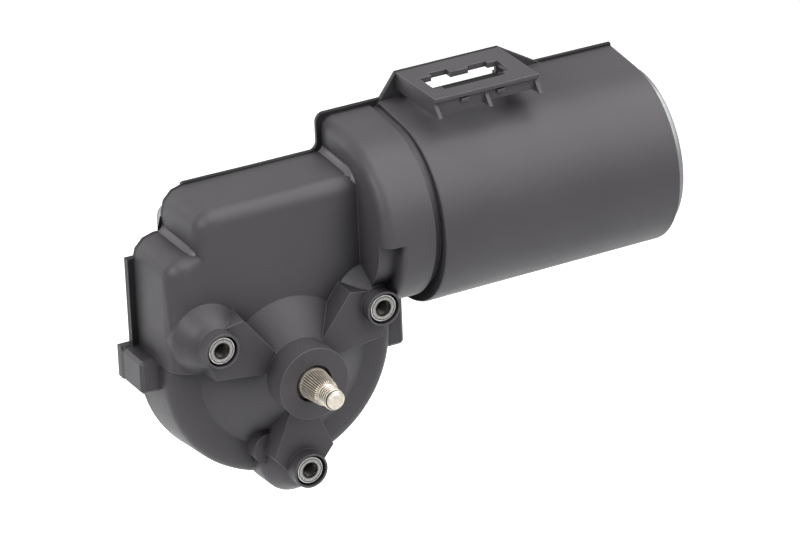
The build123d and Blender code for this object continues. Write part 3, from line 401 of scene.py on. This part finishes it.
def soft_rubber(name, color, roughness):
    # Dull rubber, carbon or ferrite with a faint bloom
    material, tree, shader, place = new_material(name)
    bloom = noise(tree, place, scale=160, detail=4.0)
    light = tuple(c * 1.8 + 0.004 for c in color)
    skin = mix_colors(tree, to_range(tree, bloom, 0, 1), color, light)
    tree.links.new(skin, shader.inputs["Base Color"])
    gloss = to_range(tree, bloom, roughness - 0.1, roughness + 0.1)
    tree.links.new(gloss, shader.inputs["Roughness"])
    grit = noise(tree, place, scale=1500, detail=2.0)
    normal = bump(tree, ((grit, 1.0),), distance=0.00004, strength=0.4)
    tree.links.new(normal, shader.inputs["Normal"])
    return material


# One look for each material slot: its maker, colour, roughness and what else the maker takes
slot_looks = {
    "cover_plastic": (moulded_plastic, (0.057, 0.0535, 0.058), 0.47, {"seam": parting_band}),
    "lid_plastic": (moulded_plastic, (0.035, 0.035, 0.038), 0.5, {}),
    "wheel_plastic": (moulded_plastic, (0.74, 0.71, 0.62), 0.35, {"grain": 0.4}),
    "cast_alloy": (cast_metal, (0.4, 0.41, 0.42), 0.45, {}),
    "drawn_steel": (
        turned_metal, (0.33, 0.33, 0.335), 0.55, {"streak": (0.05, 1, 1), "scale": 500}
    ),
    "zinc_steel": (turned_metal, (0.62, 0.62, 0.6), 0.34, {}),
    "bright_steel": (
        turned_metal, (0.78, 0.74, 0.68), 0.24, {"streak": (1, 0.1, 1), "scale": 700}
    ),
    "bearing_steel": (turned_metal, (0.66, 0.67, 0.68), 0.18, {"streak": (0.1, 1, 1)}),
    "spring_steel": (turned_metal, (0.4, 0.4, 0.41), 0.36, {}),
    "lamination_steel": (
        layered_metal, (0.42, 0.42, 0.43), 0.4, {"pitch": 0.0005, "along": "X"}
    ),
    "sintered_bronze": (turned_metal, (0.52, 0.36, 0.2), 0.45, {}),
    "spring_brass": (turned_metal, (0.74, 0.58, 0.28), 0.28, {}),
    "copper_wire": (layered_metal, (0.66, 0.3, 0.15), 0.4, {"pitch": 0.0006, "along": "Z"}),
    "ferrite": (soft_rubber, (0.06, 0.06, 0.062), 0.75, {}),
    "carbon": (soft_rubber, (0.03, 0.03, 0.031), 0.75, {}),
    "black_rubber": (soft_rubber, (0.018, 0.018, 0.018), 0.75, {}),
}
looks = {}
for slot, (maker, color, roughness, extras) in slot_looks.items():
    looks[slot] = maker(slot, color, roughness, **extras)

# Looks of single pieces
# Near black steel for the retaining ring: painted shade in the gap round the output shaft
ring_shade_steel = turned_metal("ring_shade_steel", (0.05, 0.048, 0.045), 0.5)
# Shaft steel with painted shade in its knurl and thread grooves
knurled_steel = grooved_metal(
    "knurled_steel",
    (0.86, 0.79, 0.68),
    0.36,
    groove_shade_color=(0.05, 0.035, 0.025),
    grain=900,
    patches=400,
    mottle=0.7,
)
# Post metal with painted shade in the holes, their threads and rings of their ends
machined_alloy = grooved_metal(
    "machined_alloy",
    (0.78, 0.78, 0.76),
    0.3,
    groove_shade_color=(0.03, 0.028, 0.026),
    grain=2400,
    patches=1500,
    mottle=0.4,
)
# Lighter, glossier copy of the cover plastic for the hollow rounds: painted highlight on the inner
# corners
lit_fillet_plastic = moulded_plastic("lit_fillet_plastic", (0.115, 0.11, 0.117), 0.3, grain=0.3)

slot_of = {part["node"]: part["material_slot"] for part in frame["record"]["subparts"]}
for name, node in nodes.items():
    node.data.materials.clear()
    # The retaining ring gets near black steel as painted shade in the gap
    node.data.materials.append(ring_shade_steel if name == "retaining_ring" else looks[slot_of[name]])


def smoothing_group():
    # Node group that joins the facets' edges and shades all but the real edges smoothly
    group = bpy.data.node_groups.new("smooth_rounds", "GeometryNodeTree")
    for way in ("INPUT", "OUTPUT"):
        group.interface.new_socket("Geometry", in_out=way, socket_type="NodeSocketGeometry")
    start = group.nodes.new("NodeGroupInput")
    end = group.nodes.new("NodeGroupOutput")
    join = group.nodes.new("GeometryNodeMergeByDistance")
    join.inputs["Distance"].default_value = weld_distance
    faces = group.nodes.new("GeometryNodeSetShadeSmooth")
    angle = group.nodes.new("GeometryNodeInputMeshEdgeAngle")
    blunt = group.nodes.new("FunctionNodeCompare")
    blunt.operation = "LESS_THAN"
    blunt.inputs[1].default_value = facet_angle
    edges = group.nodes.new("GeometryNodeSetShadeSmooth")
    edges.domain = "EDGE"
    group.links.new(start.outputs[0], join.inputs["Geometry"])
    group.links.new(join.outputs["Geometry"], faces.inputs["Geometry"])
    group.links.new(faces.outputs["Geometry"], edges.inputs["Geometry"])
    group.links.new(angle.outputs["Unsigned Angle"], blunt.inputs[0])
    group.links.new(blunt.outputs["Result"], edges.inputs["Shade Smooth"])
    group.links.new(edges.outputs["Geometry"], end.inputs[0])
    return group


smooth_rounds = smoothing_group()
for node in nodes.values():
    node.modifiers.new("smooth_rounds", "NODES").node_group = smooth_rounds
    node.modifiers.new("even_normals", "WEIGHTED_NORMAL").keep_sharp = True


# Helpers for the detailed pieces


def new_object(name, data):
    # New object in the scene
    made = bpy.data.objects.new(name, data)
    bpy.context.scene.collection.objects.link(made)
    return made


def new_mesh(name, form, smooth):
    # Mesh made from a form, shaded smoothly if asked
    mesh = bpy.data.meshes.new(name)
    form.to_mesh(mesh)
    form.free()
    if smooth:
        for face in mesh.polygons:
            face.use_smooth = True
    return mesh


def piece(name, mesh, body, slot, material=None):
    # New piece made from a mesh, riding on a body
    made = new_object(name, mesh)
    mesh.materials.append(material or looks[slot])
    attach(made, body)
    return made


def lathe(name, stations, around, point_at, closed=False):
    # Skin round the Y axis: each station and angle gives a radius, a place along Y and a depth,
    # which sets painted shade in the material
    form = bmesh.new()
    depths = form.verts.layers.float.new("depth")
    rows = []
    for station in stations:
        row = []
        for i in range(around):
            angle = 2 * math.pi * i / around
            radius, y, depth = point_at(station, angle)
            spot = (radius * math.cos(angle) * MM, y * MM, radius * math.sin(angle) * MM)
            point = form.verts.new(spot)
            point[depths] = depth
            row.append(point)
        rows.append(row)
    for first, second in zip(rows, rows[1:]):
        for i in range(around):
            j = (i + 1) % around
            form.faces.new((first[i], first[j], second[j], second[i]))
    if closed:
        form.faces.new(rows[0][::-1])
        form.faces.new(rows[-1])
        bmesh.ops.recalc_face_normals(form, faces=form.faces)
    mesh = new_mesh(name, form, smooth=True)
    mesh.set_sharp_from_angle(angle=turned_sharp_angle)
    return mesh


def ramp(value, low, high):
    # 0 below low, 1 above high and straight between
    return min(max((value - low) / (high - low), 0.0), 1.0)


def spaced(start, end, step):
    # Even stations from start to end
    count = max(1, math.ceil((end - start) / step))
    return [start + (end - start) * i / count for i in range(count + 1)]


def thread_wave(y, angle, pitch):
    # 0 at a thread's crest and 1 at its root
    turn = (y / pitch + angle / (2 * math.pi)) % 1.0
    return ramp(abs(turn - 0.5) * 2, *thread_flats)


# Output shaft


def shaft_point(y, angle):
    # Plain nose, threaded stub, relief, shoulder, knurled taper and plain journal
    if y <= thread_end:
        nose_end = shaft_tip_y + nose_length
        lead = ramp(y, nose_end, nose_end + thread_lead_in)
        chamfer = nose_chamfer * (1 - ramp(y, shaft_tip_y, shaft_tip_y + nose_chamfer))
        outer = nose_r - chamfer + lead * (thread_r - nose_r)
        fade = thread_fade_share * ramp(y, thread_end - thread_fade_length, thread_end)
        depth = thread_wave(y, angle, thread_pitch) * (1.0 - fade)
        if lead > 0:
            outer = min(outer, thread_r - thread_depth * depth)
        return outer, y, depth * lead
    if y <= relief_end:
        return relief_r, y, 0.0
    if y <= knurl_end:
        share = ramp(y, knurl_start, knurl_end)
        outer = knurl_small_r + share * (knurl_large_r - knurl_small_r)
        tooth = abs(((angle * knurl_teeth / (2 * math.pi)) % 1.0) - 0.5) * 2
        start = ramp(y, relief_end, knurl_start)
        radius = outer - knurl_depth * (1 - tooth) - shoulder_drop * (1 - start)
        return radius, y, knurl_groove_shade * (1 - tooth)
    return journal_r, y, 0.0


stations = spaced(shaft_tip_y, thread_end, thread_step)
stations += spaced(thread_end + ring_gap, relief_end, plain_step)
stations += spaced(relief_end + ring_gap, knurl_start, plain_step)
stations += spaced(knurl_start + ring_gap, knurl_end, knurl_step)
stations += [knurl_end + ring_gap, shaft_back_y]
shaft_sides = knurl_teeth * sides_per_tooth
shaft_mesh = lathe("output_shaft_detail", stations, shaft_sides, shaft_point, closed=True)
shaft = piece("output_shaft_detail", shaft_mesh, "output", "bright_steel", knurled_steel)
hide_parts("output_shaft")


# Mounting posts: the machined end from rim to hole, as radius, place along Y and depth; the depths
# paint rings of shade that stand in for a chamfer's shading
post_end = [
    (post_r - 0.03, -0.01, 0.3),
    (post_r - 0.2, -0.06, 0.0),
    (post_r - 0.4, -0.06, 0.0),
    (post_r - 0.5, -0.02, 0.75),
    (post_r - 0.7, -0.02, 0.75),
    (post_r - 0.8, -0.06, 0.35),
    (post_hole_r + 0.6, -0.06, 0.35),
    (post_hole_r + 0.2, -0.04, 0.5),
    (post_mouth_r, 0.0, 0.8),
]


def post_point(station, angle):
    # Machined end, then the cut thread inside, fading in from its start
    radius, y, depth = station
    if radius is None:
        wave = thread_wave(y, angle, post_thread_pitch)
        cut_share = ramp(y, *post_thread_start)
        radius = post_mouth_r - post_thread_depth * (1 - wave) * cut_share
        # Painted shade in the hole, darker in the thread's grooves
        depth = post_hole_shade + post_groove_shade * wave
    return radius, y, depth


post_hole = [(None, y, None) for y in spaced(post_hole_start, post_thread_end, thread_step)]
for number, degrees in enumerate(post_angles):
    turn = math.radians(degrees)
    middle = Vector((post_circle_r * math.cos(turn), 0, post_circle_r * math.sin(turn)))
    mesh = lathe(f"post_thread_{number}", post_end + post_hole, post_sides, post_point)
    mesh.transform(Matrix.Translation(middle * MM))
    piece(f"post_thread_{number}", mesh, "housing", "cast_alloy", machined_alloy)


# Front cover


def quarter_round(first_reach, second_reach):
    # Points of a hollow quarter round, as the reaches along a corner's two walls
    angles = [math.radians(90 * i / fillet_steps) for i in range(fillet_steps + 1)]
    return [(first_reach * (1 - math.sin(a)), second_reach * (1 - math.cos(a))) for a in angles]


def fillet_strip(name, corners):
    # Hollow round along an inner corner: each corner has its place, radius and walls' directions
    form = bmesh.new()
    rows = []
    for corner, radius, first_wall, second_wall in corners:
        row = []
        for along_first, along_second in quarter_round(radius, radius):
            spot = Vector(corner)
            spot = spot + Vector(first_wall) * along_first + Vector(second_wall) * along_second
            row.append(form.verts.new(spot * MM))
        rows.append(row)
    for near, far in zip(rows, rows[1:]):
        for i in range(fillet_steps):
            form.faces.new((near[i], near[i + 1], far[i + 1], far[i]))
    form.normal_update()
    outward = Vector(corners[0][2]) + Vector(corners[0][3])
    if form.faces[:][fillet_steps // 2].normal.dot(outward) < 0:
        bmesh.ops.reverse_faces(form, faces=form.faces[:])
    mesh = new_mesh(name, form, smooth=True)
    # The round gets the lighter copy of the cover plastic as painted highlight
    piece(name, mesh, "housing", "cover_plastic", lit_fillet_plastic)


def corner_web(name, corner, reach, front_y, back_y):
    # Flat web in a window's corner, with a hollow free edge
    form = bmesh.new()
    outline = [corner] + [(corner[0] + x, corner[1] + z) for x, z in quarter_round(*reach)]
    front = form.faces.new([form.verts.new((x * MM, front_y * MM, z * MM)) for x, z in outline])
    grown = bmesh.ops.extrude_face_region(form, geom=[front])
    moved = [part for part in grown["geom"] if isinstance(part, bmesh.types.BMVert)]
    bmesh.ops.translate(form, verts=moved, vec=(0, (back_y - front_y) * MM, 0))
    bmesh.ops.recalc_face_normals(form, faces=form.faces)
    piece(name, new_mesh(name, form, smooth=False), "housing", "cover_plastic")


wall_way = (-1, 0, 0)
top_way = (0, 0, 1)

# Where the collar's wall meets the block: along the top, fading out round its front edge
collar_corners = []
for y in (parting_y, 33, 26, front_round_y):
    corner = (collar_x, y, block_top_z + (y - front_round_y) * top_slope)
    collar_corners.append((corner, fillet_r, wall_way, top_way))
for degrees in range(fade_step, fade_end + 1, fade_step):
    lean = math.radians(degrees)
    out = (0, -math.sin(lean), math.cos(lean))
    y = front_round_y + out[1] * front_round_r
    corner = (collar_x, y, block_top_z - front_round_r + out[2] * front_round_r)
    radius = fillet_r * (1 - fade_share * degrees / fade_end)
    collar_corners.append((corner, radius, wall_way, out))
fillet_strip("collar_fillet", collar_corners)

# Where the upper block's wall meets the step's top: place along Y and share of the radius
step_corners = []
for y, share in ((parting_y, 1.0), (33, 1.0), (26, 1.0), (20, 0.95), (18, 0.75), (16.5, 0.5)):
    behind = y - front_round_y
    ahead = max(0, step_round_y - y)
    wall_x = step_wall_x - behind * step_wall_slope + ahead * step_wall_lean
    top_z = step_top_z + behind * top_slope - ahead * step_top_lean
    step_corners.append(((wall_x, y, top_z), fillet_r * share, wall_way, top_way))
fillet_strip("step_fillet", step_corners)

corner_web("bracket_web", web_corner, web_reach, web_front_y, web_back_y)


# Camera: its directions to the right and backwards, and its place in millimetres along these axes
camera_right = (0.8795, -0.4744, -0.0391)
camera_back = (-0.416, -0.806, 0.421)
camera_shift = 34.36
camera_height = 40.07
camera_distance = 2181.8

camera_data = bpy.data.cameras.new("camera")
camera_data.lens = 270
camera_data.sensor_width = 36
camera_data.clip_end = 50
camera = new_object("camera", camera_data)
back = Vector(camera_back).normalized()
up = back.cross(Vector(camera_right).normalized()).normalized()
right = up.cross(back).normalized()
spot = (right * camera_shift + up * camera_height + back * camera_distance) * MM
turned = Matrix((right, up, back)).transposed().to_4x4()
camera.matrix_world = Matrix.Translation(spot) @ turned
bpy.context.scene.camera = camera


# Floor, in metres, with the strengths of its glow and where along Y they hold
floor_size = 6.0
floor_level = -0.3
floor_color = (0.93, 0.93, 0.93)
floor_light_color = (0.95, 0.95, 0.95)
floor_glow = (0.05, 0.4)
floor_glow_y = (0.04, 0.35)

# Soft light panels, each with its name, place, size and power, in metres and watts
light_target = (0.04, 0.01, 0.02)
lights = (
    ("top", (0.25, -0.18, 0.6), 0.8, 6.7),
    ("left", (-0.5, -0.12, 0.42), 0.3, 2.3),
    ("front", (0.5, -0.7, 0.4), 0.5, 1.4),
    ("back", (-0.2, 0.9, 0.12), 0.7, 4.2),
)
world_strength = 0.48


def floor():
    # Plain pale floor that glows more behind the motor, so that the ground is even and white
    mesh = bpy.data.meshes.new("floor")
    corners = [
        (-floor_size, -floor_size, floor_level),
        (floor_size, -floor_size, floor_level),
        (floor_size, floor_size, floor_level),
        (-floor_size, floor_size, floor_level),
    ]
    mesh.from_pydata(corners, [], [(0, 1, 2, 3)])
    made = new_object("floor", mesh)
    material, tree, shader, place = new_material("pale_floor")
    cloud = noise(tree, place, scale=3, detail=2.0)
    color = mix_colors(tree, to_range(tree, cloud, 0, 1), floor_color, floor_light_color)
    tree.links.new(color, shader.inputs["Base Color"])
    shader.inputs["Roughness"].default_value = 0.9
    shader.inputs["Specular IOR Level"].default_value = 0.1
    shader.inputs["Emission Color"].default_value = (1, 1, 1, 1)
    glow = to_range(tree, coordinate(tree, place, "Y"), *floor_glow, *floor_glow_y)
    tree.links.new(glow, shader.inputs["Emission Strength"])
    mesh.materials.append(material)


floor()

for name, place, size, power in lights:
    panel = bpy.data.lights.new(name, "AREA")
    panel.size = size
    panel.energy = power
    lamp = new_object(name, panel)
    lamp.location = place
    aim = Vector(light_target) - Vector(place)
    lamp.rotation_euler = aim.to_track_quat("-Z", "Y").to_euler()

world = bpy.data.worlds.new("studio")
world.use_nodes = True
world.node_tree.nodes["Background"].inputs["Color"].default_value = (1, 1, 1, 1)
world.node_tree.nodes["Background"].inputs["Strength"].default_value = world_strength
bpy.context.scene.world = world
bpy.context.scene.view_settings.view_transform = "Standard"
